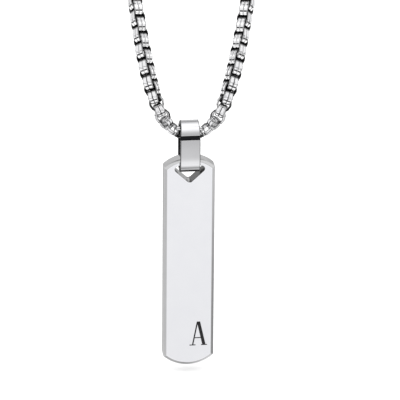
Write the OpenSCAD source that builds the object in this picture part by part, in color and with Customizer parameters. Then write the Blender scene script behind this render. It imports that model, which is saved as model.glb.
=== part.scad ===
// Bar pendant with an engraved initial, on a rounded box chain, in the shape it takes when worn.
// Millimetres. +Z is up and the wearer faces -Y. The origin is where the clasp lies on the nape.

/* [Chain] */
// Width across the rounded box chain
chain_w = 2.5; // [2.2:0.1:2.5]

/* [Pendant] */
// Angle by which the pendant hangs turned about the vertical, towards the wearer's left
pendant_turn = 7; // [0:1:8]

/* [Bar] */
// Width of the bar
bar_w = 10; // [9:0.5:12]
// Height of the bar, from the top of one end arc to the bottom of the other
bar_h = 44.5; // [35:0.5:55]
// Thickness of the bar
bar_t = 2.8; // [2:0.1:2.8]
// Radius of the arc at each end of the bar
bar_end_r = 7.25; // [7:0.05:8]
// Width of the polished bevel round the front, measured across the face
bevel_w = 0.55; // [0.3:0.05:0.7]
// Depth of the polished bevel, measured through the thickness
bevel_d = 0.3; // [0.2:0.05:0.5]
// Size of the small bevel round the back
back_bevel = 0.12; // [0.1:0.01:0.3]

/* [Slot] */
// Metal left above the slot, at the middle of the bar
bridge_h = 1.2; // [1.1:0.05:1.3]
// Width of the slot at its widest
slot_w = 5.8; // [5.7:0.1:6.2]
// Height of the slot at its middle
slot_h = 3.85; // [3.8:0.05:4.2]
// Radius of the slot's three corners
slot_corner_r = 0.6; // [0.4:0.05:0.65]

/* [Bail] */
// Width of the bail's strip
bail_w = 3.9; // [3:0.1:3.9]
// Width of the bail at its very top
bail_top_w = 3.6; // [3:0.1:3.9]
// Thickness of the bail's strip
bail_strip_t = 0.7; // [0.5:0.05:0.75]
// Space between the bail's front and back legs
bail_gap = 3.3; // [3.3:0.05:3.5]
// Distance between the bail's two turning centres
bail_reach = 5.85; // [5.8:0.05:6.4]
// Height of the dark groove across the front
groove_h = 0.87; // [0.5:0.01:1]
// Depth of the dark groove
groove_d = 0.3; // [0.15:0.05:0.35]

/* [Initial] */
// Height of the engraved letter
initial_h = 5.2; // [4:0.1:6]
// Width of the engraved letter across its feet
initial_w = 3.5; // [2.8:0.1:3.6]
// Depth of the engraving
initial_depth = 0.15; // [0.1:0.05:0.3]
// Width of the letter's thick stroke
thick_stroke = 0.66; // [0.4:0.02:0.7]
// Width of the letter's thin strokes
thin_stroke = 0.28; // [0.2:0.02:0.34]

/* [Clasp] */
// Distance between the holes of the clasp's two end eyes
clasp_reach = 10.4; // [10:0.2:11]
// Height of the clasp's body
clasp_h = 4.4; // [4:0.1:5]
// Thickness of the clasp's body
clasp_t = 2; // [1.6:0.1:2.4]
// Thickness of the clasp's end eyes
clasp_eye_t = 1.1; // [0.9:0.1:1.2]
// Radius of the hole in each end eye
clasp_eye_r = 0.85; // [0.8:0.05:0.9]
// Wall around each eye's hole
clasp_eye_wall = 0.7; // [0.6:0.05:0.8]

/* [Hidden] */
$fn = 48;
steel = [0.82, 0.83, 0.85];
overlap = 1;

// Half of the chain's route, from its lowest point to the clasp: right, back and up from the lowest point.
half_route = [
    [0, 0, 0], [2, 0, 0.2], [3, 0, 0.7], [4, 0, 1.5], [4.9, 0.1, 2.6], [5.7, 0.2, 4.1],
    [6.4, 0.3, 5.8], [7.1, 0.6, 7.9], [7.9, 1, 10.8], [8.8, 1.7, 14.5], [9.6, 2.7, 18.5],
    [10.4, 3.9, 23], [11.5, 6, 29], [13.1, 9.4, 37.5], [15.1, 13.4, 47], [17.6, 18, 57],
    [20.4, 22.8, 67], [23.6, 27.7, 77], [27.2, 33, 87], [31, 38.4, 97], [35.2, 44.2, 107],
    [39.6, 50.4, 117], [43.6, 56.5, 126], [47, 62.2, 133.5], [50.2, 68.3, 140.5], [53.2, 74.7, 147],
    [55.8, 81.4, 153], [57.9, 88.4, 158.6], [59.2, 95.6, 163.6], [59.6, 103, 168],
    [58.9, 110.4, 171.8], [57, 117.6, 175], [53.8, 124.2, 177.6], [49.2, 130, 179.6],
    [43.5, 134.8, 181.1], [37, 138.4, 182.2], [29.8, 141, 182.9], [22.4, 142.7, 183.3],
    [14.8, 143.6, 183.4], [7, 144, 183.4]
];
chain_sides = 8;

// The route's end is level with the clasp, whose flat back is on the nape, at y = 0.
clasp_y = -clasp_t / 2;
route_end = half_route[len(half_route) - 1];
low_point = [0, clasp_y - route_end[1], -route_end[2]];
loop_normal = [0, -route_end[2], route_end[1]] / norm([route_end[1], route_end[2]]);

// The bail turns on the chain about a line just above the chain's lowest point.
chain_pivot_z = low_point[2] + 0.3;
bar_pivot_z = chain_pivot_z - bail_reach;
bail_inner_r = bail_gap / 2;
bail_outer_r = bail_inner_r + bail_strip_t;
groove_top_z = chain_pivot_z + 0.12;

// The bridge above the slot turns inside the bail's lower bend with this clearance.
seat_clearance = 0.1;
slot_arch_r = bar_end_r - bridge_h;
arch_drop = slot_arch_r - sqrt(pow(slot_arch_r, 2) - pow(bail_w / 2, 2));
seat_drop = sqrt(pow(bail_inner_r - seat_clearance, 2) - pow(bar_t / 2, 2));
bridge_under_z = bar_pivot_z - seat_drop + arch_drop;
bar_top_z = bridge_under_z + bridge_h;
bar_bottom_z = bar_top_z - bar_h;
top_arc_z = bar_top_z - bar_end_r;
bottom_arc_z = bar_bottom_z + bar_end_r;
bar_face_y = -bar_t / 2;

// The slot's upper corners touch the arch above them, and its lowest corner is on the middle line.
slot_corner_x = slot_w / 2 - slot_corner_r;
slot_corner_z = top_arc_z + sqrt(pow(slot_arch_r - slot_corner_r, 2) - pow(slot_corner_x, 2));
slot_tip_z = bridge_under_z - slot_h + slot_corner_r;

// The letter stands right of the middle, a little above the bottom arc.
initial_centre_x = 1.95;
initial_base_z = bar_bottom_z + 4.2;
inlay_clearance = 0.02;
serif_w = 1.2;

function unit(v) = v / norm(v);
function strand(side) = [for (p = half_route) low_point + [side * p[0], p[1], p[2]]];

// At the lowest point both strands run level across the bail, so that their ends meet flat.
function tangent_at(route, i, side) =
    i == 0 ? [side, 0, 0] : unit(route[min(i + 1, len(route) - 1)] - route[i - 1]);
// A ring's first direction points away from the loop, square to the route.
function ring(centre, tangent, radius) =
    let (
        outward = unit(loop_normal - tangent * (tangent * loop_normal)),
        sideways = cross(tangent, outward)
    )
    [for (k = [0 : chain_sides - 1])
        let (a = (k + 0.5) * 360 / chain_sides)
        centre + radius * (cos(a) * outward + sin(a) * sideways)];

module swept_tube(route, side, radius) {
    points = [for (i = [0 : len(route) - 1]) each ring(route[i], tangent_at(route, i, side), radius)];
    last = (len(route) - 1) * chain_sides;
    walls = [for (i = [0 : len(route) - 2]) for (k = [0 : chain_sides - 1])
        let (a = i * chain_sides + k, b = i * chain_sides + (k + 1) % chain_sides)
        each [[a, a + chain_sides, b + chain_sides], [a, b + chain_sides, b]]];
    start_cap = [for (k = [0 : chain_sides - 1]) k];
    end_cap = [for (k = [chain_sides - 1 : -1 : 0]) last + k];
    polyhedron(points = points, faces = concat([start_cap], walls, [end_cap]), convexity = 10);
}

// Each half of the chain runs from the middle of the bail to one eye of the clasp.
module chain_left() {
    color(steel) swept_tube(strand(-1), -1, chain_w / 2);
}

module chain_right() {
    color(steel) swept_tube(strand(1), 1, chain_w / 2);
}

// The pendant's pieces are drawn round the vertical through the chain's lowest point, facing -Y.
module hang_pendant() {
    translate([0, low_point[1], 0])
        rotate([0, 0, pendant_turn]) children();
}

// Extrudes a side profile, drawn as [back, up], over a width centred on x = 0.
module across(width) {
    translate([-width / 2, 0, 0])
        rotate([90, 0, 90])
            linear_extrude(width) children();
}

// Extrudes a front profile, drawn as [right, up], from y_front back through a depth.
module from_front(y_front, depth) {
    translate([0, y_front + depth, 0])
        rotate([90, 0, 0])
            linear_extrude(depth) children();
}

module stadium(radius, top, bottom) {
    translate([0, top]) circle(radius);
    translate([0, bottom]) circle(radius);
    translate([-radius, bottom]) square([2 * radius, top - bottom]);
}

// The bail's front outline: straight sides that draw in a little above the groove.
module bail_front_outline() {
    half_w = bail_w / 2;
    half_top_w = bail_top_w / 2;
    top = chain_pivot_z + bail_outer_r;
    bottom = bar_pivot_z - bail_outer_r - overlap;
    polygon([
        [-half_w, bottom], [half_w, bottom], [half_w, groove_top_z],
        [half_top_w, top], [-half_top_w, top], [-half_w, groove_top_z]
    ]);
}

// A closed strip: its upper bend lies over the chain and its lower bend carries the bar.
module bail() {
    color(steel)
        hang_pendant()
            intersection() {
                across(bail_w)
                    difference() {
                        stadium(bail_outer_r, chain_pivot_z, bar_pivot_z);
                        stadium(bail_inner_r, chain_pivot_z, bar_pivot_z);
                        translate([-bail_outer_r - overlap, groove_top_z - groove_h])
                            square([groove_d + overlap, groove_h]);
                    }
                from_front(-bail_outer_r - overlap, 2 * (bail_outer_r + overlap))
                    bail_front_outline();
            }
}

// An end disc with its front and back rims bevelled, turned from half of its profile.
module end_disc(centre_z) {
    translate([0, 0, centre_z])
        rotate([90, 0, 0])
            rotate_extrude($fn = 96)
                polygon([
                    [0, -bar_t / 2], [bar_end_r - back_bevel, -bar_t / 2],
                    [bar_end_r, back_bevel - bar_t / 2], [bar_end_r, bar_t / 2 - bevel_d],
                    [bar_end_r - bevel_w, bar_t / 2], [0, bar_t / 2]
                ]);
}

// The bar's cross-section seen from above, with its four long edges bevelled.
module bevelled_section() {
    half_w = bar_w / 2;
    polygon([
        [-half_w, bar_face_y + bevel_d], [-half_w + bevel_w, bar_face_y],
        [half_w - bevel_w, bar_face_y], [half_w, bar_face_y + bevel_d],
        [half_w, bar_t / 2 - back_bevel], [half_w - back_bevel, bar_t / 2],
        [-half_w + back_bevel, bar_t / 2], [-half_w, bar_t / 2 - back_bevel]
    ]);
}

module bar_blank() {
    intersection() {
        translate([0, 0, bar_bottom_z])
            linear_extrude(bar_h) bevelled_section();
        union() {
            end_disc(top_arc_z);
            end_disc(bottom_arc_z);
            translate([-bar_w / 2, bar_face_y, bottom_arc_z])
                cube([bar_w, bar_t, top_arc_z - bottom_arc_z]);
        }
    }
}

// A slot with a V below, an arch above that is parallel to the bar's upper end, and three round corners.
module slot_outline() {
    lean = atan2(slot_corner_z - slot_tip_z, slot_corner_x);
    v_offset = slot_corner_r * [sin(lean), -cos(lean)];
    arch_way = unit([slot_corner_x, slot_corner_z - top_arc_z]);
    above = [slot_corner_x, slot_corner_z] + arch_way * slot_h;
    for (side = [-1, 1])
        translate([side * slot_corner_x, slot_corner_z]) circle(slot_corner_r);
    translate([0, slot_tip_z]) circle(slot_corner_r);
    polygon([
        [-slot_corner_x, slot_corner_z], [slot_corner_x, slot_corner_z],
        [slot_corner_x + v_offset[0], slot_corner_z + v_offset[1]],
        [v_offset[0], slot_tip_z + v_offset[1]], [-v_offset[0], slot_tip_z + v_offset[1]],
        [-slot_corner_x - v_offset[0], slot_corner_z + v_offset[1]]
    ]);
    intersection() {
        translate([0, top_arc_z]) circle(slot_arch_r, $fn = 96);
        polygon([
            [-slot_corner_x, slot_corner_z], [slot_corner_x, slot_corner_z],
            above, [-above[0], above[1]]
        ]);
    }
}

// A straight stroke between two points, as wide as given when measured level.
module stroke(from, to, width) {
    half = [width / 2, 0];
    polygon([from - half, from + half, to + half, to - half]);
}

// A plain capital A with thick and thin strokes, standing on z = 0 and grown by a margin on every side.
module letter(margin) {
    foot_x = (initial_w - serif_w) / 2;
    serif_h = thin_stroke * 0.75;
    crossbar_z = initial_h * 0.3;
    peak_x = (thin_stroke - thick_stroke) / 2;
    stroke([-foot_x, -margin], [peak_x, initial_h + margin], thin_stroke + 2 * margin);
    stroke([foot_x, -margin], [0, initial_h + margin], thick_stroke + 2 * margin);
    for (x = [-foot_x, foot_x])
        translate([x - serif_w / 2 - margin, -margin])
            square([serif_w + 2 * margin, serif_h + 2 * margin]);
    translate([-foot_x * 0.74, crossbar_z - margin])
        square([foot_x * 1.48, serif_h + 2 * margin]);
}

module initial_outline(margin) {
    translate([initial_centre_x, initial_base_z]) letter(margin);
}

// The bar, pierced for the bail and engraved for the initial.
module bar() {
    color([0.88, 0.89, 0.9])
        hang_pendant()
            difference() {
                bar_blank();
                from_front(bar_face_y - overlap, bar_t + 2 * overlap) slot_outline();
                from_front(bar_face_y - overlap, initial_depth + overlap)
                    initial_outline(inlay_clearance);
            }
}

// The dark filling of the engraving, level with the face.
module initial() {
    color([0.05, 0.05, 0.06])
        hang_pendant()
            from_front(bar_face_y, initial_depth) initial_outline(0);
}

// One plain piece: a lens-shaped body with a thinner eye at each end.
module clasp() {
    lens_r = 7;
    eye_x = clasp_reach / 2;
    color(steel)
        difference() {
            union() {
                from_front(clasp_y - clasp_t / 2, clasp_t)
                    intersection() {
                        translate([0, clasp_h / 2 - lens_r]) circle(lens_r, $fn = 96);
                        translate([0, lens_r - clasp_h / 2]) circle(lens_r, $fn = 96);
                        square([2 * (eye_x - clasp_eye_r - 0.3), clasp_h + overlap], center = true);
                    }
                from_front(clasp_y - clasp_eye_t / 2, clasp_eye_t)
                    for (side = [-1, 1])
                        translate([side * eye_x, 0]) circle(clasp_eye_r + clasp_eye_wall);
            }
            from_front(clasp_y - clasp_t, 2 * clasp_t)
                for (side = [-1, 1])
                    translate([side * eye_x, 0]) circle(clasp_eye_r);
        }
}

chain_left();
chain_right();
clasp();
bail();
bar();
initial();
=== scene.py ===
"""Looks for an initial pendant necklace: a rounded box chain, a strip bail and a bar with an engraved letter.

Objects are in metres, and the sizes of meshes in the source's millimetres. +Z is up, the wearer faces -Y,
and the origin is where the clasp lies on the nape.
"""

import math

import bmesh
import bpy
import numpy as np
from mathutils import Matrix, Vector
from mathutils.geometry import tessellate_polygon


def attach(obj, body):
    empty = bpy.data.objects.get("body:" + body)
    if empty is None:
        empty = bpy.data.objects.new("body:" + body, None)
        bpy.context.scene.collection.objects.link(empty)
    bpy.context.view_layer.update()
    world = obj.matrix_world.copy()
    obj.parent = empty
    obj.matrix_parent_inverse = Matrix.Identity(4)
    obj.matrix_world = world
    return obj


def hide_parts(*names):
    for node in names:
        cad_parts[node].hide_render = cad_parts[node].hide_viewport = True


MM = 0.001

# Sizes repeated from the part's source, in millimetres.
HALF_ROUTE = [
    (0, 0, 0), (2, 0, 0.2), (3, 0, 0.7), (4, 0, 1.5), (4.9, 0.1, 2.6), (5.7, 0.2, 4.1),
    (6.4, 0.3, 5.8), (7.1, 0.6, 7.9), (7.9, 1, 10.8), (8.8, 1.7, 14.5), (9.6, 2.7, 18.5),
    (10.4, 3.9, 23), (11.5, 6, 29), (13.1, 9.4, 37.5), (15.1, 13.4, 47), (17.6, 18, 57),
    (20.4, 22.8, 67), (23.6, 27.7, 77), (27.2, 33, 87), (31, 38.4, 97), (35.2, 44.2, 107),
    (39.6, 50.4, 117), (43.6, 56.5, 126), (47, 62.2, 133.5), (50.2, 68.3, 140.5), (53.2, 74.7, 147),
    (55.8, 81.4, 153), (57.9, 88.4, 158.6), (59.2, 95.6, 163.6), (59.6, 103, 168),
    (58.9, 110.4, 171.8), (57, 117.6, 175), (53.8, 124.2, 177.6), (49.2, 130, 179.6),
    (43.5, 134.8, 181.1), (37, 138.4, 182.2), (29.8, 141, 182.9), (22.4, 142.7, 183.3),
    (14.8, 143.6, 183.4), (7, 144, 183.4),
]
LOW_POINT = np.array([0.0, -145.0, -183.4])
PENDANT_TURN = math.radians(7)
PIVOT_RISE, GROOVE_RISE, INITIAL_RISE = 0.3, 0.12, 4.2
BAR_W, BAR_H, BAR_T, BAR_END_R = 10.0, 44.5, 2.8, 7.25
BEVEL_W, BEVEL_D, BACK_BEVEL = 0.55, 0.3, 0.12
BRIDGE_H, SLOT_W, SLOT_H, SLOT_CORNER_R = 1.2, 5.8, 3.85, 0.6
BAIL_W, BAIL_TOP_W, BAIL_T, BAIL_GAP, BAIL_REACH = 3.9, 3.6, 0.7, 3.3, 5.85
GROOVE_H, GROOVE_D = 0.87, 0.3
INITIAL_H, INITIAL_W, INITIAL_DEPTH = 5.2, 3.5, 0.15
THICK_STROKE, THIN_STROKE, SERIF_W = 0.66, 0.28, 1.2
SERIF_H, CROSSBAR_Z = THIN_STROKE * 0.75, INITIAL_H * 0.3
SEAT_CLEARANCE = 0.1

CHAIN_PIVOT_Z = LOW_POINT[2] + PIVOT_RISE
BAR_PIVOT_Z = CHAIN_PIVOT_Z - BAIL_REACH
BAIL_INNER_R = BAIL_GAP / 2
GROOVE_TOP_Z = CHAIN_PIVOT_Z + GROOVE_RISE
SLOT_ARCH_R = BAR_END_R - BRIDGE_H
ARCH_DROP = SLOT_ARCH_R - math.sqrt(SLOT_ARCH_R**2 - (BAIL_W / 2) ** 2)
SEAT_DROP = math.sqrt((BAIL_INNER_R - SEAT_CLEARANCE) ** 2 - (BAR_T / 2) ** 2)
BRIDGE_UNDER_Z = BAR_PIVOT_Z - SEAT_DROP + ARCH_DROP
BAR_TOP_Z = BRIDGE_UNDER_Z + BRIDGE_H
BAR_BOTTOM_Z = BAR_TOP_Z - BAR_H
BAR_MIDDLE_Z = BAR_TOP_Z - BAR_H / 2
TOP_ARC_Z = BAR_TOP_Z - BAR_END_R
BOTTOM_ARC_Z = BAR_BOTTOM_Z + BAR_END_R
SLOT_CORNER_X = SLOT_W / 2 - SLOT_CORNER_R
SLOT_CORNER_Z = TOP_ARC_Z + math.sqrt((SLOT_ARCH_R - SLOT_CORNER_R) ** 2 - SLOT_CORNER_X**2)
SLOT_TIP_Z = BRIDGE_UNDER_Z - SLOT_H + SLOT_CORNER_R
INITIAL_X, INITIAL_Z = 1.95, BAR_BOTTOM_Z + INITIAL_RISE

# The links of the chain: each is a strip folded into a ring, and stands square to its neighbours. Each half
# has this many, besides the lowest link.
LINKS_PER_HALF = 183
# The first steps from the lowest link share a little room to spare. The last link, which has its middle at
# this x, goes through the clasp's eye.
FIRST_STEPS, FIRST_SPARE = 3, 0.5
LAST_LINK_X = 6.35
LINK_D, LINK_STRIP_W, LINK_LENGTH = 2.56, 2.08, 3.1
# The ring has slightly bowed side walls, with points at these shares of their half length, and oval corners
# of this length and depth, with points at these steps in degrees.
LINK_BOW, LINK_CORNER_L, LINK_CORNER_D = 0.14, 0.85, 0.55
LINK_WALL_SHARES = (0.3, 0.86)
LINK_CORNER_STEPS = (0, 13, 21, 38, 60, 88)
# The strip's section from its middle to its edge, as shares of the half width, and depths under the ring's
# outline. It has two lobes.
LINK_SECTION = [
    (0, 0.11), (0.1, 0.045), (0.32, 0.01), (0.55, 0.01), (0.78, 0.035), (0.97, 0.11), (1, 0.15), (0.93, 0.21),
]
# The strip's width along a quarter of the ring, from a side wall to the end bar: shares of the full width.
LINK_WIDTHS = (1, 0.95, 0.9, 0.87, 0.87, 0.86, 0.84, 0.84)
# How far the odd links have slid down in their neighbours: distance from the lowest point, and millimetres.
LINK_SLIDE = [(0, 0), (8, 0), (12, 0.2), (16, 0.29), (260, 0.29), (280, 0)]
# Up to these distances from the lowest point, the seams' painted shade is darker, and the links' insides have
# a lighter painted shade.
DARK_SEAM_TO, LIGHT_INNER_TO = 17.0, 8.5
# The links in the bail are slimmer, clear of its swing, and fuller beside it: distance from the lowest
# point, and share of the full girth.
LINK_GIRTHS = [
    (0, 0.87), (3.5, 0.88), (5.5, 1.05), (7, 1.16), (9, 1.17), (11, 1.12), (15, 1.1), (22, 1.02), (28, 1),
]
# Where the chain bends and turns, the links are shorter and their strips narrower, so that they clear each
# other: distance from the lowest point, and share of the length or of the width.
LINK_LENGTHS = [(0, 0.87), (4, 0.86), (9, 0.86), (13, 0.94), (14.5, 1)]
LINK_NARROWING = [(0, 0.66), (5, 0.69), (9, 0.79), (12, 0.88), (16, 0.93), (28, 0.95), (33, 1)]
# The chain lies a little off the bail's middle: distance from the lowest point, and millimetres to the right.
LINK_SHIFT = [(0, 0), (2, 0), (7, 0.18), (60, 0.18), (120, 0)]
# How far the links lean, front up: distance from the lowest point, and rise for each millimetre of depth.
# A leaning link is let down by its rise at this depth, so that its face stays about where it was.
LINK_LEAN = [(0, 0), (5, 0), (14, 0.35), (60, 0.35), (120, 0)]
LEAN_DEPTH = 1.6
# How the links are turned along the chain: distance from the lowest point, and degrees.
LINK_TURNS = [
    (0, 128), (3, 124), (4.4, 118), (5.8, 107), (7.5, 92), (9.3, 77), (12.3, 62), (15.8, 55), (19.3, 48),
    (22.8, 38), (26.5, 29), (30, 23), (45, 12), (120, 0), (200, -10), (292, -51.9),
]
# Each span of the route has this many steps, a link's direction is taken over this far to either side of its
# centre, and the route is drawn on by this much into the clasp.
ROUTE_STEPS, TANGENT_REACH, ROUTE_OVERRUN = 12, 0.8, 3.0

# The bail: its rounded edges, the bow of its front leg, and how far its groove starts and ends below the
# source's.
BAIL_EDGE_R, BAIL_BOW = 0.14, 0.08
GROOVE_TOP_DROP, GROOVE_BOTTOM_DROP = 0.05, 0.15
# The groove's walls: distance in from its end, and share of its depth. The middle value rounds its lip.
GROOVE_WALL = [(0, 0), (0.03, 0.12), (0.048, 1)]
# The bends stop this many degrees short of the bowed front leg. Under the groove, the leg's even stations
# start a little lower.
BEND_STOP, BEND_STATIONS = 4, 34
LEG_START, LEG_STATIONS, BACK_LEG_STATIONS = 0.08, 14, 8
# The stations of the lower bend where the strip has painted shade also on its face.
UNDER_FIRST, UNDER_LAST = 6, 19

# The bar's edges, from the back and to the front: inset from its outline, and depth under the back or front
# face.
BACK_EDGE = [(BACK_BEVEL + 0.08, 0), (BACK_BEVEL, 0.01), (0.01, BACK_BEVEL), (0, BACK_BEVEL + 0.08)]
FRONT_EDGE = [
    (0, BEVEL_D + 0.05), (0.012, BEVEL_D + 0.012), (0.04, BEVEL_D - 0.02), (BEVEL_W - 0.1, 0.045),
    (BEVEL_W - 0.05, 0.018), (BEVEL_W - 0.01, 0.003), (BEVEL_W + 0.03, 0),
]
# The slot's rounded lip: growth of its outline, and depth under either face.
SLOT_LIP = [(0.09, 0), (0.03, 0.02), (0, 0.08)]
# The bar's corners are rounded, and no inset ring's corners are sharper than the least radius.
BAR_CORNER_R, LEAST_CORNER_R = 0.35, 0.04
# The front bevel has painted shade up to this far from either end of the bar.
BEVEL_END_H = 2.2
# How many points the arcs of the bar and of its slot have.
BAR_CORNER_POINTS, BAR_END_POINTS = 6, 15
SLOT_CORNER_POINTS, SLOT_ARCH_POINTS = 9, 21

# The numbers of each mesh's materials, in the order in which the materials are given.
# Besides plain steel, a link's materials are painted shade, and one is a painted highlight.
LINK, DEEP_SHADE, SEAM_SHADE, EDGE_SHADE, LINE_SHADE, RIM_SHADE, CAP_HIGHLIGHT, PALE_SHADE = range(8)
STRIP_FACE, STRIP_GROOVE, STRIP_SHADE = range(3)
FACE, SIDE, BEVEL, SLOT_WALL, SHADED_BEVEL_END, SHADED_SLOT_WALL = range(6)
# What a link's lobes show from a side wall to the middle of the end bar, in its upper and in its lower half.
# The upper end bar has painted shade, and the lower one a painted dark line and a painted highlight.
UPPER_BANDS = (LINK, LINK, LINK, LINK, RIM_SHADE, DEEP_SHADE, DEEP_SHADE, DEEP_SHADE)
LOWER_BANDS = (LINK, LINE_SHADE, LINE_SHADE, CAP_HIGHLIGHT, CAP_HIGHLIGHT, CAP_HIGHLIGHT, DEEP_SHADE, DEEP_SHADE)
# What the strip shows from its middle to its edge and inner face. LINK stands for what the lobes show there.
# The seam, the rims, the edges and the inner face have painted shade.
STRIP_LANES = (SEAM_SHADE, LINK, LINK, LINK, RIM_SHADE, EDGE_SHADE, EDGE_SHADE, DEEP_SHADE)


# Shared helpers for meshes


def new_object(name, points, faces, materials, face_materials):
    """A smooth mesh object from points in metres, with one material number for each face."""
    mesh = bpy.data.meshes.new(name)
    mesh.from_pydata([tuple(p) for p in points], [], [tuple(int(i) for i in f) for f in faces])
    for material in materials:
        mesh.materials.append(material)
    mesh.polygons.foreach_set("material_index", np.asarray(face_materials, np.int32))
    mesh.polygons.foreach_set("use_smooth", np.ones(len(mesh.polygons), bool))
    mesh.update()
    mesh.validate()
    obj = bpy.data.objects.new(name, mesh)
    bpy.context.scene.collection.objects.link(obj)
    return obj


def even_normals(obj):
    """Keeps wide faces flat in the shading, with the rounding left to the narrow faces at their edges."""
    weighted = obj.modifiers.new("even_normals", "WEIGHTED_NORMAL")
    weighted.mode = "FACE_AREA"
    weighted.weight = 80
    weighted.keep_sharp = True


def hang(points_mm):
    """Pendant points in metres, turned about the vertical through the chain's lowest point.

    They are given as x right and y back from that vertical, and z up from the origin.
    """
    x, y, z = np.asarray(points_mm, float).T
    c, s = math.cos(PENDANT_TURN), math.sin(PENDANT_TURN)
    return np.stack([c * x - s * y, s * x + c * y + LOW_POINT[1], z], 1) * MM


def quads_between(first, second, count):
    """Quads between two closed rings of count points, given the numbers of the rings' first points."""
    steps = [(k, (k + 1) % count) for k in range(count)]
    return [(first + k, first + m, second + m, second + k) for k, m in steps]


def arc(centre, radius, start, end, count):
    """Points on an arc, from start to end in degrees."""
    a = np.radians(np.linspace(start, end, count))
    return np.stack([centre[0] + radius * np.cos(a), centre[1] + radius * np.sin(a)], 1)


def unit(vector):
    """The vector at length 1."""
    return vector / np.linalg.norm(vector)


# Chain

# The front of the chain's loop, square to the line from its lowest point to the nape.
LOOP_FRONT = unit(np.array([0, -HALF_ROUTE[-1][2], HALF_ROUTE[-1][1]], float))


def half_route(side):
    """A smooth line through one strand's route points, with the distance along it, in millimetres."""
    route = np.array(HALF_ROUTE, float)
    past_end = route[-1] + (route[-1] - route[-2])
    ctrl = np.vstack([route[1] * [-1, 1, 1], route, past_end])
    line = []
    for p0, p1, p2, p3 in zip(ctrl, ctrl[1:], ctrl[2:], ctrl[3:]):
        slope, bend, twist = p2 - p0, 2 * p0 - 5 * p1 + 4 * p2 - p3, 3 * p1 - p0 - 3 * p2 + p3
        for t in np.linspace(0, 1, ROUTE_STEPS, endpoint=False):
            line.append(0.5 * (2 * p1 + slope * t + bend * t**2 + twist * t**3))
    line = np.array([*line, route[-1]])
    steps = np.linalg.norm(np.diff(line, axis=0), axis=1)
    return line * [side, 1, 1] + LOW_POINT, np.concatenate([[0], np.cumsum(steps)])


def route_point(line, dist, s):
    """The point at distance s along the line, which goes on past the lowest point as its mirror image."""
    point = np.array([np.interp(abs(s), dist, line[:, k]) for k in range(3)])
    return point * [-1, 1, 1] if s < 0 else point


def value_at(stops, s):
    """What a list of distances and values gives at distance s."""
    return np.interp(s, *zip(*stops))


def link_outline():
    """A link's ring seen along its axis, as [along the chain, across] points from a side wall and round."""
    wall_end, half_d = LINK_LENGTH / 2 - LINK_CORNER_L, LINK_D / 2
    quarter = [(wall_end * share, half_d - LINK_BOW * share**2) for share in LINK_WALL_SHARES]
    for a in np.radians(LINK_CORNER_STEPS):
        fall = LINK_CORNER_D * (1 - math.cos(a))
        quarter.append((wall_end + LINK_CORNER_L * math.sin(a), half_d - LINK_BOW - fall))
    q = np.array(quarter)
    return np.vstack([q, (q * [1, -1])[::-1], q * [-1, -1], (q * [-1, 1])[::-1]])


def link_shape():
    """One link: points as [along the chain, across the ring, along its axis], quads and material numbers."""
    outline = link_outline()
    ahead = np.roll(outline, -1, 0) - np.roll(outline, 1, 0)
    ahead /= np.linalg.norm(ahead, axis=1)[:, None]
    outward = np.stack([-ahead[:, 1], ahead[:, 0]], 1)
    outward *= np.sign((outward * outline).sum(1))[:, None]
    section = [(share * LINK_STRIP_W / 2, depth) for share, depth in LINK_SECTION]
    section += [(-w, depth) for w, depth in section[:0:-1]]
    widths = (LINK_WIDTHS + LINK_WIDTHS[::-1]) * 2
    points = []
    for (u, v), (nu, nv), width in zip(outline, outward, widths):
        points += [(u - nu * depth, v - nv * depth, w * width) for w, depth in section]

    # Each half of the ring shows its bands twice, from wall to wall, and then one band in the wall's middle.
    bands = UPPER_BANDS + UPPER_BANDS[-2::-1] + (LINK,) + LOWER_BANDS + LOWER_BANDS[-2::-1] + (CAP_HIGHLIGHT,)
    lanes = STRIP_LANES + STRIP_LANES[-2::-1]
    quads, mats = [], []
    count = len(section)
    for i, band in enumerate(bands):
        quads += quads_between(i * count, (i + 1) % len(bands) * count, count)
        mats += [band if lane == LINK or band == DEEP_SHADE else lane for lane in lanes]
    return np.array(points), np.array(quads), np.array(mats)


def link_places():
    """Distances of the links' centres from the lowest point along one strand, and how far each link leans."""
    line, dist = half_route(1)
    end = dist[-1] + (line[-1, 0] - LAST_LINK_X)
    pitch = (end - FIRST_SPARE) / LINKS_PER_HALF
    i = np.arange(LINKS_PER_HALF + 1)
    even = i * pitch + FIRST_SPARE * np.minimum(i / FIRST_STEPS, 1)
    slid = even - value_at(LINK_SLIDE, even) * (i % 2)
    leans = value_at(LINK_LEAN, slid)
    return slid - leans * LEAN_DEPTH, leans


def link_points(shape, number, s, lean, side, line, dist):
    """One link at distance s: scaled, turned, leaning and shifted as the lists above say, in millimetres."""
    along = unit(route_point(line, dist, s + TANGENT_REACH) - route_point(line, dist, s - TANGENT_REACH))
    front = unit(LOOP_FRONT - (LOOP_FRONT @ along) * along)
    inward = -side * np.cross(along, front)
    turn = math.radians(value_at(LINK_TURNS, s) + 90 * (number % 2))
    across = math.cos(turn) * front + math.sin(turn) * inward
    axes = np.stack([along, across, np.cross(along, across)])
    girth = value_at(LINK_GIRTHS, s)
    scale = [value_at(LINK_LENGTHS, s), girth, girth * value_at(LINK_NARROWING, s)]
    placed = (shape * scale) @ axes
    placed += np.outer(lean * (placed @ front), along)
    return placed + route_point(line, dist, s) + [value_at(LINK_SHIFT, s), 0, 0]


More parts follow.
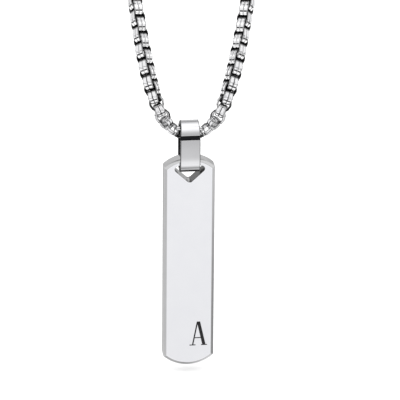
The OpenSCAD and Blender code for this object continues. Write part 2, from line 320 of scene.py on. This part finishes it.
def chain_half(name, side, first, materials):
    """The links of one strand as one joined mesh: links first, first + 1, ... to the clasp."""
    line, dist = half_route(side)
    line = np.vstack([line, line[-1] + unit(line[-1] - line[-2]) * ROUTE_OVERRUN])
    dist = np.append(dist, dist[-1] + ROUTE_OVERRUN)
    shape, shape_quads, shape_mats = link_shape()
    points, quads, mats = [], [], []
    places, leans = link_places()
    for number in range(first, len(places)):
        s = places[number]
        quads.append(shape_quads + len(points) * len(shape))
        points.append(link_points(shape, number, s, leans[number], side, line, dist))
        link_mats = shape_mats.copy()
        # Near the lowest point, the seam's painted shade is darker, and the insides' painted shade is
        # lighter.
        if s < DARK_SEAM_TO:
            link_mats[shape_mats == SEAM_SHADE] = LINE_SHADE
        if s < LIGHT_INNER_TO:
            link_mats[shape_mats == DEEP_SHADE] = PALE_SHADE
        mats.append(link_mats)
    return new_object(name, np.vstack(points) * MM, np.vstack(quads), materials, np.concatenate(mats))


# Bail

# A station of its strip is the inner face's place [back, up], the outward direction, and the groove's share.


def bail_bend(centre_z, start, end):
    """Stations round one of the bail's bends, from start to end in degrees."""
    directions = arc((0, 0), 1, start, end, BEND_STATIONS)
    return [(BAIL_INNER_R * c, centre_z + BAIL_INNER_R * s, c, s, 0) for c, s in directions]


def front_leg(z, dip=0):
    """A station of the bail's bowed front leg, with dip as the share of the groove's depth."""
    share = (z - BAR_PIVOT_Z) / BAIL_REACH
    swell = BAIL_BOW * 4 * share * (1 - share)
    slope = BAIL_BOW * 4 * (1 - 2 * share) / BAIL_REACH
    return (-BAIL_INNER_R - swell, z, *unit(np.array([-1, -slope])), dip)


def bail_stations():
    """The stations over the top, down the front and up the back, and the number of the lower bend's first."""
    top, bottom = GROOVE_TOP_Z - GROOVE_TOP_DROP, GROOVE_TOP_Z - GROOVE_H - GROOVE_BOTTOM_DROP
    stations = bail_bend(CHAIN_PIVOT_Z, 0, 180 - BEND_STOP)
    stations += [front_leg(top - inset, dip) for inset, dip in GROOVE_WALL]
    stations += [front_leg(bottom + inset, dip) for inset, dip in reversed(GROOVE_WALL)]
    stations += [front_leg(z) for z in np.linspace(bottom - LEG_START, BAR_PIVOT_Z, LEG_STATIONS)]
    lower_bend = len(stations)
    stations += bail_bend(BAR_PIVOT_Z, 180 + BEND_STOP, 360)
    back_leg = np.linspace(BAR_PIVOT_Z, CHAIN_PIVOT_Z, BACK_LEG_STATIONS)[1:-1]
    stations += [(BAIL_INNER_R, z, 1, 0, 0) for z in back_leg]
    return stations, lower_bend


def strip_section(half_w, corner_count):
    """The strip's section with rounded edges, as [across, out] points from its inner right corner."""
    w, low, high = half_w - BAIL_EDGE_R, BAIL_EDGE_R, BAIL_T - BAIL_EDGE_R
    corners = [((w, low), -90), ((w, high), 0), ((-w, high), 90), ((-w, low), 180)]
    return np.vstack([arc(centre, BAIL_EDGE_R, start, start + 90, corner_count) for centre, start in corners])


def bail_mesh(name, materials):
    """A closed strip with rounded edges: over the chain, down both sides and under the bridge of the bar."""
    corner_count = 5
    count = 4 * corner_count
    face_lane = 2 * corner_count - 1
    outer_lanes = range(corner_count, 3 * corner_count)
    top = CHAIN_PIVOT_Z + BAIL_INNER_R + BAIL_T
    stations, lower_bend = bail_stations()
    points, quads, mats = [], [], []
    for y, z, ny, nz, dip in stations:
        share = min(max((z + nz * BAIL_T - GROOVE_TOP_Z) / (top - GROOVE_TOP_Z), 0), 1)
        half_w = (BAIL_W + (BAIL_TOP_W - BAIL_W) * share) / 2
        for x, out in strip_section(half_w, corner_count):
            if out > BAIL_T / 2:
                out -= GROOVE_D * dip
            points.append((x, y + ny * out, z + nz * out))
    for i, station in enumerate(stations):
        j = (i + 1) % len(stations)
        quads += [(a, d, c, b) for a, b, c, d in quads_between(i * count, j * count, count)]
        grooved = max(station[-1], stations[j][-1]) == 1
        # The rounded edges, and the face under the lower bend, get painted shade.
        under = UNDER_FIRST <= i - lower_bend <= UNDER_LAST
        for lane in range(count):
            plain = STRIP_SHADE if under or lane != face_lane else STRIP_FACE
            mats.append(STRIP_GROOVE if grooved and lane in outer_lanes else plain)
    obj = new_object(name, hang(points), quads, materials, mats)
    even_normals(obj)
    return obj


# Bar


def bar_outline(inset):
    """The bar's outline drawn in by inset, as [right, up] points from the upper right corner and round."""
    half_w, end_r = BAR_W / 2 - inset, BAR_END_R - inset
    corner_r = max(BAR_CORNER_R - inset, LEAST_CORNER_R)
    corner_x = half_w - corner_r
    corner_z = math.sqrt((end_r - corner_r) ** 2 - corner_x**2)
    lean = math.degrees(math.atan2(corner_z, corner_x))
    corner = arc((corner_x, corner_z), corner_r, 0, lean, BAR_CORNER_POINTS)
    quarter = np.vstack([corner, arc((0, 0), end_r, lean, 90, BAR_END_POINTS)[1:]])
    top_right = quarter + [0, TOP_ARC_Z]
    top_left = (quarter * [-1, 1])[::-1][1:] + [0, TOP_ARC_Z]
    bottom_left = quarter * [-1, -1] + [0, BOTTOM_ARC_Z]
    bottom_right = (quarter * [1, -1])[::-1][1:] + [0, BOTTOM_ARC_Z]
    return np.vstack([top_right, top_left, bottom_left, bottom_right])


def slot_outline(grow):
    """The slot's outline, wider by grow on every side."""
    r, count = SLOT_CORNER_R + grow, SLOT_CORNER_POINTS
    lean = math.degrees(math.atan2(SLOT_CORNER_Z - SLOT_TIP_Z, SLOT_CORNER_X))
    arch_lean = math.degrees(math.atan2(SLOT_CORNER_Z - TOP_ARC_Z, SLOT_CORNER_X))
    right = arc((SLOT_CORNER_X, SLOT_CORNER_Z), r, lean - 90, arch_lean, count)
    arch = arc((0, TOP_ARC_Z), SLOT_ARCH_R + grow, arch_lean, 180 - arch_lean, SLOT_ARCH_POINTS)[1:-1]
    left = arc((-SLOT_CORNER_X, SLOT_CORNER_Z), r, 180 - arch_lean, 270 - lean, count)
    tip = arc((0, SLOT_TIP_Z), r, 270 - lean, 270 + lean, count)
    return np.vstack([right, arch, left, tip])


def crossing(first, second):
    """Where two lines cross, each given by two points."""
    a, b, c, d = np.array([*first, *second], float)
    t = np.linalg.solve(np.stack([b - a, c - d], 1), c - a)[0]
    return a + t * (b - a)


def letter_outlines():
    """The outer line and the counter of a plain capital A, as [right, up] points."""
    foot, serif = (INITIAL_W - SERIF_W) / 2, SERIF_W / 2
    peak = (THIN_STROKE - THICK_STROKE) / 2
    thin, thick = THIN_STROKE / 2, THICK_STROKE / 2
    thin_left = ((-foot - thin, 0), (peak - thin, INITIAL_H))
    thin_right = ((-foot + thin, 0), (peak + thin, INITIAL_H))
    thick_left = ((foot - thick, 0), (-thick, INITIAL_H))
    thick_right = ((foot + thick, 0), (thick, INITIAL_H))

    def at(stroke_side, z):
        """The point of a stroke's side at height z."""
        return crossing(stroke_side, ((-1, z), (1, z)))

    outer = [
        (-foot - serif, 0), (-foot + serif, 0), (-foot + serif, SERIF_H), at(thin_right, SERIF_H),
        at(thin_right, CROSSBAR_Z), at(thick_left, CROSSBAR_Z), at(thick_left, SERIF_H),
        (foot - serif, SERIF_H), (foot - serif, 0), (foot + serif, 0), (foot + serif, SERIF_H),
        at(thick_right, SERIF_H), (thick, INITIAL_H), (peak - thin, INITIAL_H), at(thin_left, SERIF_H),
        (-foot - serif, SERIF_H),
    ]
    crossbar_top = CROSSBAR_Z + SERIF_H
    counter = [at(thin_right, crossbar_top), at(thick_left, crossbar_top), crossing(thin_right, thick_left)]
    return [np.array(loop, float) + [INITIAL_X, INITIAL_Z] for loop in (outer, counter)]


class Shell:
    """The points, faces and material numbers of the bar in the making, in the pendant's millimetres."""

    def __init__(self):
        self.points, self.faces, self.mats, self.flat_faces = [], [], [], []

    def ring(self, outline, y):
        """Adds an outline's points at depth y, and gives their numbers."""
        self.points += [(x, y, z) for x, z in outline]
        return range(len(self.points) - len(outline), len(self.points))

    def wall(self, first, second, material_of):
        """Adds the quads between two rings, each in the material that its first two points give."""
        for quad in quads_between(first[0], second[0], len(first)):
            self.faces.append(quad)
            self.mats.append(material_of(self.points[quad[0]], self.points[quad[1]]))

    def fill(self, outlines, material):
        """Covers the first outline, less the others inside it, with flat triangles."""
        numbers = [i for outline in outlines for i in outline]
        flat = [[Vector(self.points[i]).xz.to_3d() for i in outline] for outline in outlines]
        for triangle in tessellate_polygon(flat):
            self.flat_faces.append(len(self.faces))
            self.faces.append([numbers[i] for i in triangle])
            self.mats.append(material)


def side_material(p, q):
    """The material between two points of a side, a back edge or the engraving: a darker copy of the steel,
    painted shade.
    """
    return SIDE


def bevel_material(p, q):
    """The material between two points of the front bevel, with painted shade near the bar's ends."""
    near_end = abs(p[2] + q[2] - 2 * BAR_MIDDLE_Z) > BAR_H - 2 * BEVEL_END_H
    return SHADED_BEVEL_END if near_end else BEVEL


def slot_material(p, q):
    """The material between two points of the slot's wall, which has painted shade, and more on the right."""
    return SHADED_SLOT_WALL if p[0] > 0 and q[0] > 0 else SLOT_WALL


def add_edge(shell, front, back):
    """The bar's side and bevels, and the rings where its back and its front start."""
    profile = [(inset, back - depth) for inset, depth in BACK_EDGE]
    profile += [(inset, front + depth) for inset, depth in FRONT_EDGE]
    rings = [shell.ring(bar_outline(inset), y) for inset, y in profile]
    for i, (first, second) in enumerate(zip(rings, rings[1:])):
        shell.wall(first, second, side_material if i < len(BACK_EDGE) else bevel_material)
    return rings[0], rings[-1]


def add_slot(shell, front, back):
    """The slot's wall with its rounded lips, and its rings in the front and in the back."""
    profile = [(grow, front + depth) for grow, depth in SLOT_LIP]
    profile += [(grow, back - depth) for grow, depth in reversed(SLOT_LIP)]
    rings = [shell.ring(slot_outline(grow), y) for grow, y in profile]
    for first, second in zip(rings, rings[1:]):
        shell.wall(first, second, slot_material)
    return rings[0], rings[-1]


def add_engraving(shell, front):
    """The engraving's walls, and the rings of the letter and its counter, in the front and at the floor."""
    rims, floors = [], []
    for outline in letter_outlines():
        rims.append(shell.ring(outline, front))
        floors.append(shell.ring(outline, front + INITIAL_DEPTH))
        shell.wall(rims[-1], floors[-1], side_material)
    return rims, floors


def face_outward(obj, flat_faces):
    """Turns all the faces outward, and shades the flat ones flat."""
    bm = bmesh.new()
    bm.from_mesh(obj.data)
    bmesh.ops.recalc_face_normals(bm, faces=bm.faces)
    bm.faces.ensure_lookup_table()
    for index in flat_faces:
        bm.faces[index].smooth = False
    bm.to_mesh(obj.data)
    bm.free()


def bar_mesh(name, materials):
    """The bar with its rounded edges, its slot, and the engraving under the dark filling."""
    front, back = -BAR_T / 2, BAR_T / 2
    shell = Shell()
    back_ring, front_ring = add_edge(shell, front, back)
    slot_front, slot_back = add_slot(shell, front, back)
    (letter, counter), floors = add_engraving(shell, front)
    shell.fill([front_ring, slot_front, letter], FACE)
    shell.fill([counter], FACE)
    shell.fill([back_ring, slot_back], FACE)
    shell.fill(floors, SIDE)
    obj = new_object(name, hang(shell.points), shell.faces, materials, shell.mats)
    face_outward(obj, shell.flat_faces)
    even_normals(obj)
    return obj


# Materials

# The scale and detail of the noise patterns: the steel's drift of tone, its smears and its fine marks, which
# are both stretched upright, and the filling's grain. Most of a pattern lies within the spread.
DRIFT, SMEARS, MARKS, GRAIN = (260.0, 3.0), (900.0, 6.0), (9000.0, 2.0), (2500.0, 5.0)
STRETCH = (6.0, 6.0, 0.6)
SPREAD_LOW, SPREAD_HIGH = 0.3, 0.7
MARK_DEPTH, GRAIN_DEPTH = 0.01 * MM, 0.02 * MM


def add_node(tree, kind, **settings):
    """A new shader node with its own settings, such as its operation."""
    node = tree.nodes.new("ShaderNode" + kind)
    for name, value in settings.items():
        setattr(node, name, value)
    return node


def feed(tree, node, inputs):
    """Gives a node's inputs, by name or number, a value each or a link from another node's output."""
    for key, value in inputs.items():
        if isinstance(value, bpy.types.NodeSocket):
            tree.links.new(value, node.inputs[key])
        else:
            node.inputs[key].default_value = value


def noise(tree, vector, scale, detail):
    """A noise pattern over the vector."""
    node = add_node(tree, "TexNoise")
    feed(tree, node, {"Vector": vector, "Scale": scale, "Detail": detail})
    return node.outputs["Fac"]


def two_tones(tree, value, dark, light, start=0.0, end=1.0):
    """The dark colour where the value is below start, the light one above end, and their mix between."""
    node = add_node(tree, "ValToRGB")
    for element, place, tone in zip(node.color_ramp.elements, (start, end), (dark, light)):
        element.position = place
        element.color = (*tone, 1)
    feed(tree, node, {"Fac": value})
    return node.outputs["Color"]


def remapped(tree, value, inputs):
    """The value carried over from one range to another."""
    node = add_node(tree, "MapRange")
    feed(tree, node, {"Value": value, **inputs})
    return node.outputs["Result"]


def bumps(tree, height, strength, distance):
    """A surface that the height raises and lowers, by the distance in metres at full strength."""
    node = add_node(tree, "Bump")
    feed(tree, node, {"Height": height, "Strength": strength, "Distance": distance})
    return node.outputs["Normal"]


def node_material(name):
    """A new material, with its node tree, its shader and the object's own coordinates."""
    material = bpy.data.materials.new(name)
    material.use_nodes = True
    tree = material.node_tree
    return material, tree, tree.nodes["Principled BSDF"], add_node(tree, "TexCoord").outputs["Object"]


def falling(tree, colour, coords, fall):
    """The colour, with painted shade that darkens it by the share fall at the bar's bottom and by less and
    less up to its top.
    """
    place = add_node(tree, "SeparateXYZ")
    feed(tree, place, {0: coords})
    ends = {"From Min": BAR_BOTTOM_Z * MM, "From Max": BAR_TOP_Z * MM, "To Min": 1 - fall}
    shade = add_node(tree, "VectorMath", operation="SCALE")
    feed(tree, shade, {0: colour, "Scale": remapped(tree, place.outputs["Z"], ends)})
    return shade.outputs[0]


def steel(name, dark, light, rough_low, rough_high, hairline=0.0, fall=0.0):
    """Polished steel: the colour drifts a little between two tones, with soft smears in the gloss.

    With hairline, it also has fine polishing marks of that strength. With fall, painted shade also takes the
    tone down by that share from the bar's top to its bottom.
    """
    material, tree, shader, coords = node_material(name)
    colour = two_tones(tree, noise(tree, coords, *DRIFT), dark, light, SPREAD_LOW, SPREAD_HIGH)
    if fall:
        colour = falling(tree, colour, coords, fall)
    upright = add_node(tree, "Mapping")
    feed(tree, upright, {"Vector": coords, "Scale": STRETCH})
    smears = noise(tree, upright.outputs["Vector"], *SMEARS)
    ends = {"From Min": SPREAD_LOW, "From Max": SPREAD_HIGH, "To Min": rough_low, "To Max": rough_high}
    feed(tree, shader, {"Metallic": 1.0, "Base Color": colour, "Roughness": remapped(tree, smears, ends)})
    if hairline:
        marks = noise(tree, upright.outputs["Vector"], *MARKS)
        feed(tree, shader, {"Normal": bumps(tree, marks, hairline, MARK_DEPTH)})
    return material


def black_fill(name, sheen=0.25):
    """Black enamel-like filling, a little uneven and less glossy in spots."""
    material, tree, shader, coords = node_material(name)
    grain = noise(tree, coords, *GRAIN)
    feed(tree, shader, {
        "Base Color": two_tones(tree, grain, (0.004, 0.004, 0.005), (0.012, 0.012, 0.014)),
        "Roughness": remapped(tree, grain, {"To Min": 0.35, "To Max": 0.6}),
        "Specular IOR Level": sheen,
        "Normal": bumps(tree, grain, 0.3, GRAIN_DEPTH),
    })
    return material


def dress(obj, material):
    """Gives a CAD object one material."""
    obj.data.materials.clear()
    obj.data.materials.append(material)


# Scene

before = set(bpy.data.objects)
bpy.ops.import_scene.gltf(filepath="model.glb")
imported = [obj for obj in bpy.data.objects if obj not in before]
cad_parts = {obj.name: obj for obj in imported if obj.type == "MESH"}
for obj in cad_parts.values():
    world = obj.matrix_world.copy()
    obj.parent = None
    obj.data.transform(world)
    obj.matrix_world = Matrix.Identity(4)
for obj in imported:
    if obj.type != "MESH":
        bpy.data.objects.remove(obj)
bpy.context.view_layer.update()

# The materials of a link, of the bail's strip and of the bar are in the order of their numbers above.
link_materials = [
    steel("chain_steel", (0.66, 0.66, 0.67), (0.72, 0.72, 0.73), 0.06, 0.13),
    # Painted shade, darkest: the links' insides and their upper end bars.
    steel("chain_inner_painted_shade", (0.04, 0.04, 0.042), (0.08, 0.08, 0.082), 0.3, 0.45),
    # The seam is a real joint, with painted shade in it.
    steel("chain_seam_painted_shade", (0.32, 0.32, 0.325), (0.4, 0.4, 0.405), 0.12, 0.2),
    # Painted shade on the strip's rounded edges.
    steel("chain_edge_painted_shade", (0.05, 0.05, 0.052), (0.08, 0.08, 0.082), 0.15, 0.25),
    # Painted shade: a dark line across each lower end, and the darker seams near the lowest point.
    steel("chain_dark_line_painted_shade", (0.05, 0.05, 0.052), (0.08, 0.08, 0.082), 0.12, 0.2),
    # Painted shade, grey, between the lobes and the edges, and in a band over the upper end.
    steel("chain_rim_painted_shade", (0.32, 0.32, 0.325), (0.4, 0.4, 0.405), 0.15, 0.25),
    # A painted highlight: the lower end bars, brighter than the steel.
    steel("chain_cap_painted_highlight", (0.9, 0.9, 0.905), (0.95, 0.95, 0.955), 0.2, 0.28),
    # A lighter painted shade for the insides of the links near the lowest point.
    steel("chain_open_painted_shade", (0.5, 0.5, 0.505), (0.6, 0.6, 0.605), 0.2, 0.3),
]
strip_materials = [
    steel("bail_steel", (0.61, 0.61, 0.625), (0.635, 0.635, 0.65), 0.03, 0.06, hairline=0.02),
    black_fill("groove_black", sheen=0.05),
    # Painted shade on the rounded edges and under the lower bend.
    steel("bail_edge_painted_shade", (0.07, 0.07, 0.073), (0.1, 0.1, 0.103), 0.15, 0.25, hairline=0.05),
]
bar_materials = [
    # A brighter copy of the steel, a painted highlight, with painted shade towards the bar's bottom.
    steel("bar_face_painted_highlight_steel", (0.945, 0.95, 0.985), (0.965, 0.97, 1.0), 0.03, 0.06, hairline=0.01, fall=0.1),
    # A darker copy of the steel, painted shade, on the sides.
    steel("bar_side_painted_shade_steel", (0.5, 0.5, 0.505), (0.56, 0.56, 0.565), 0.07, 0.12, hairline=0.05),
    steel("bar_bevel_steel", (0.68, 0.68, 0.69), (0.72, 0.72, 0.73), 0.06, 0.1),
    # A darker copy of the steel, painted shade, on the slot's wall.
    steel("bar_slot_painted_shade_steel", (0.48, 0.48, 0.485), (0.54, 0.54, 0.545), 0.15, 0.25, hairline=0.1),
    # Painted shade on the front bevel near the bar's ends.
    steel("bar_bevel_end_painted_shade_steel", (0.46, 0.46, 0.465), (0.5, 0.5, 0.505), 0.08, 0.14),
    # Painted shade on the slot's right wall.
    steel("bar_slot_right_painted_shade_steel", (0.1, 0.1, 0.102), (0.14, 0.14, 0.142), 0.2, 0.3, hairline=0.1),
]

# Chain pieces. The right half has the lowest link.
for side, node, piece, first in ((-1, "chain_left", "links_left", 1), (1, "chain_right", "links_right", 0)):
    links = chain_half(piece, side, first, link_materials)
    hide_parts(node)
    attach(links, "chain")

# Bail piece
bail = bail_mesh("bail_strip", strip_materials)
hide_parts("bail")
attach(bail, "bail")

# Bar piece, and the letter's filling
bar = bar_mesh("bar_plate", bar_materials)
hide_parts("bar")
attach(bar, "pendant")
dress(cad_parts["initial"], black_fill("black_fill"))

# Clasp, with its edges eased where they are sharper than the angle
WELD_REACH, CLASP_EDGE_R, CLASP_EDGE_ANGLE = 0.001 * MM, 0.15 * MM, math.radians(35)
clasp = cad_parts["clasp"]
dress(clasp, steel("clasp_steel", (0.68, 0.68, 0.69), (0.73, 0.73, 0.74), 0.08, 0.16, hairline=0.03))
weld = clasp.modifiers.new("weld", "WELD")
weld.merge_threshold = WELD_REACH
ease = clasp.modifiers.new("eased_edges", "BEVEL")
ease.width = CLASP_EDGE_R
ease.segments = 3
ease.limit_method = "ANGLE"
ease.angle_limit = CLASP_EDGE_ANGLE
ease.harden_normals = True

# Floor, in metres: half its width, its middle's y, and its depth under the bar. Reflections don't show it.
FLOOR_HALF, FLOOR_Y, FLOOR_DROP = 0.6, -0.1, 1.6 * MM
floor_mesh = bpy.data.meshes.new("floor")
floor_corners = [(FLOOR_HALF * x, FLOOR_HALF * y, 0) for x, y in ((-1, -1), (1, -1), (1, 1), (-1, 1))]
floor_mesh.from_pydata(floor_corners, [], [(0, 1, 2, 3)])
floor = bpy.data.objects.new("floor", floor_mesh)
floor.location = (0, FLOOR_Y, BAR_BOTTOM_Z * MM - FLOOR_DROP)
bpy.context.scene.collection.objects.link(floor)
floor_material, floor_tree, floor_shader, _ = node_material("floor_white")
floor_look = {"Base Color": (0.86, 0.86, 0.86, 1), "Roughness": 0.2, "Specular IOR Level": 0.2}
feed(floor_tree, floor_shader, floor_look)
floor_mesh.materials.append(floor_material)
floor.visible_glossy = False

# Soft surroundings: plain white, and for the metal's reflections a studio of soft boxes and grey gaps. Each
# list gives the brightness by elevation in degrees.
WHITE = 1.7
AHEAD = [
    (-90, 0.5), (-82, 0.5), (-76, 0.2), (-62.6, 0.55), (-42.6, 1.2), (-35, 1.36), (-28.7, 1.36), (-27.8, 1.2),
    (-26.9, 1.02), (-25.9, 0.93), (-22.3, 0.88), (-19.6, 0.8), (-13, 0.71), (-3, 0.74), (7, 0.81),
    (16.5, 0.95), (26.5, 1.17), (36.5, 1.42), (46, 1.6), (57, WHITE), (90, WHITE),
]
HIGH_SIDES = [(38, 1.3), (45, 0.8), (50, 0.2), (60, 0.1), (68, 0.6), (74, WHITE), (90, WHITE)]
FRONT_SIDES = [
    (-90, 0.8), (-80, 0.8), (-60, 0.85), (-48, 1.3), (-40, 1.5), (-31, 1.5), (-27, 0.7), (-20, 0.7),
    (-16, 1.3), *HIGH_SIDES,
]
LOW_RIGHT = [
    (-90, 0.5), (-80, 0.6), (-60, 1.3), (-40, 0.8), (-30, 0.5), (-25.3, 0.33), (-24.4, 0.38), (-23.4, 0.72),
    (-22, 0.85), (-16, 1.3), *HIGH_SIDES,
]
BACK_SIDES = [
    (-90, 0.8), (-80, 0.9), (-68, 1.4), (-45, 1.3), (-36, 1.2), (2, 1.2), (12, 0.95), (38, 0.95),
    *HIGH_SIDES[1:],
]
BEHIND = [
    (-90, 0.5), (-80, 0.6), (-68, 1.3), (-45, 0.9), (-30, 0.58), (-20, 0.56), (-7, 0.6), (0, 0.6), (10, 0.82),
    (26, 0.84), (33, 0.56), (44, 0.56), (51, 0.66), (65, 1.17), (79, 1.5), (90, WHITE),
]
# Sectors over the back sides, each over the ones before it: compass direction, with 0 ahead and 90 to the
# right, how far to either side it is whole and where it has faded out, in degrees, and its brightness. The
# last is what the pendant's flat faces reflect.
SECTORS = [(0, 85, 98, FRONT_SIDES), (180, 30, 40, BEHIND), (72, 12, 18, LOW_RIGHT), (15, 9, 14, AHEAD)]
# The numbers of a Mix node's two colour inputs and of its colour output, whose names other sockets share.
COLOUR_A, COLOUR_B, MIXED_COLOUR = 6, 7, 2


def brightness(tree, height, stops):
    """Grey by elevation, as shares of WHITE. The height runs from 0 straight down to 1 straight up."""
    ramp = add_node(tree, "ValToRGB")
    elements = ramp.color_ramp.elements
    places = [(math.sin(math.radians(elevation)) + 1) / 2 for elevation, _ in stops]
    elements[0].position, elements[1].position = 0.0, 1.0
    for place in places[1:-1]:
        elements.new(place)
    for element, (_, value) in zip(elements, stops):
        element.color = (value / WHITE, value / WHITE, value / WHITE, 1)
    feed(tree, ramp, {"Fac": height})
    return ramp.outputs["Color"]


def sector(tree, level_direction, toward_deg, whole_deg, faded_deg, inside, around):
    """The colour inside, up to whole_deg from a compass direction, and the one around beyond faded_deg."""
    toward = math.radians(toward_deg)
    facing = add_node(tree, "VectorMath", operation="DOT_PRODUCT")
    feed(tree, facing, {0: level_direction, 1: (math.sin(toward), -math.cos(toward), 0)})
    share = add_node(tree, "MapRange", interpolation_type="SMOOTHSTEP")
    ends = {"From Min": math.cos(math.radians(faded_deg)), "From Max": math.cos(math.radians(whole_deg))}
    feed(tree, share, {"Value": facing.outputs["Value"], **ends})
    mix = add_node(tree, "Mix", data_type="RGBA")
    feed(tree, mix, {"Factor": share.outputs["Result"], COLOUR_A: around, COLOUR_B: inside})
    return mix.outputs[MIXED_COLOUR]


def surroundings(name):
    """The world: plain white, with the studio for reflections only."""
    world = bpy.data.worlds.new(name)
    world.use_nodes = True
    tree = world.node_tree
    split = add_node(tree, "SeparateXYZ")
    feed(tree, split, {0: add_node(tree, "TexCoord").outputs["Generated"]})
    height = remapped(tree, split.outputs["Z"], {"From Min": -1.0})
    flat = add_node(tree, "CombineXYZ")
    feed(tree, flat, {"X": split.outputs["X"], "Y": split.outputs["Y"]})
    level = add_node(tree, "VectorMath", operation="NORMALIZE")
    feed(tree, level, {0: flat.outputs[0]})

    around = brightness(tree, height, BACK_SIDES)
    for toward, whole, faded, stops in SECTORS:
        around = sector(tree, level.outputs[0], toward, whole, faded, brightness(tree, height, stops), around)
    studio = add_node(tree, "Background")
    feed(tree, studio, {"Color": around, "Strength": WHITE})
    plain = tree.nodes["Background"]
    feed(tree, plain, {"Color": (1, 1, 1, 1), "Strength": WHITE})
    choose = add_node(tree, "MixShader")
    glossy = add_node(tree, "LightPath").outputs["Is Glossy Ray"]
    feed(tree, choose, {"Fac": glossy, 1: plain.outputs[0], 2: studio.outputs[0]})
    feed(tree, tree.nodes["World Output"], {"Surface": choose.outputs[0]})
    return world


bpy.context.scene.world = surroundings("soft_studio")

# Camera
CAMERA_ELEVATION = math.radians(23.5)
CAMERA_DISTANCE = 0.74
CAMERA_ROLL = math.radians(0.5)
CAMERA_TARGET = Vector((0.0022, LOW_POINT[1] * MM, -0.1975))
camera_data = bpy.data.cameras.new("camera")
camera_data.lens = 341.0
camera_data.sensor_width = 36.0
camera_data.clip_start, camera_data.clip_end = 0.01, 20
camera = bpy.data.objects.new("camera", camera_data)
bpy.context.scene.collection.objects.link(camera)
toward_camera = Vector((0, -math.cos(CAMERA_ELEVATION), math.sin(CAMERA_ELEVATION)))
camera.location = CAMERA_TARGET + toward_camera * CAMERA_DISTANCE
camera.rotation_mode = "QUATERNION"
roll = Matrix.Rotation(CAMERA_ROLL, 3, "Z").to_quaternion()
camera.rotation_quaternion = toward_camera.to_track_quat("Z", "Y") @ roll
bpy.context.scene.camera = camera
bpy.context.scene.view_settings.view_transform = "Standard"
bpy.context.scene.view_settings.look = "None"

bpy.context.view_layer.update()
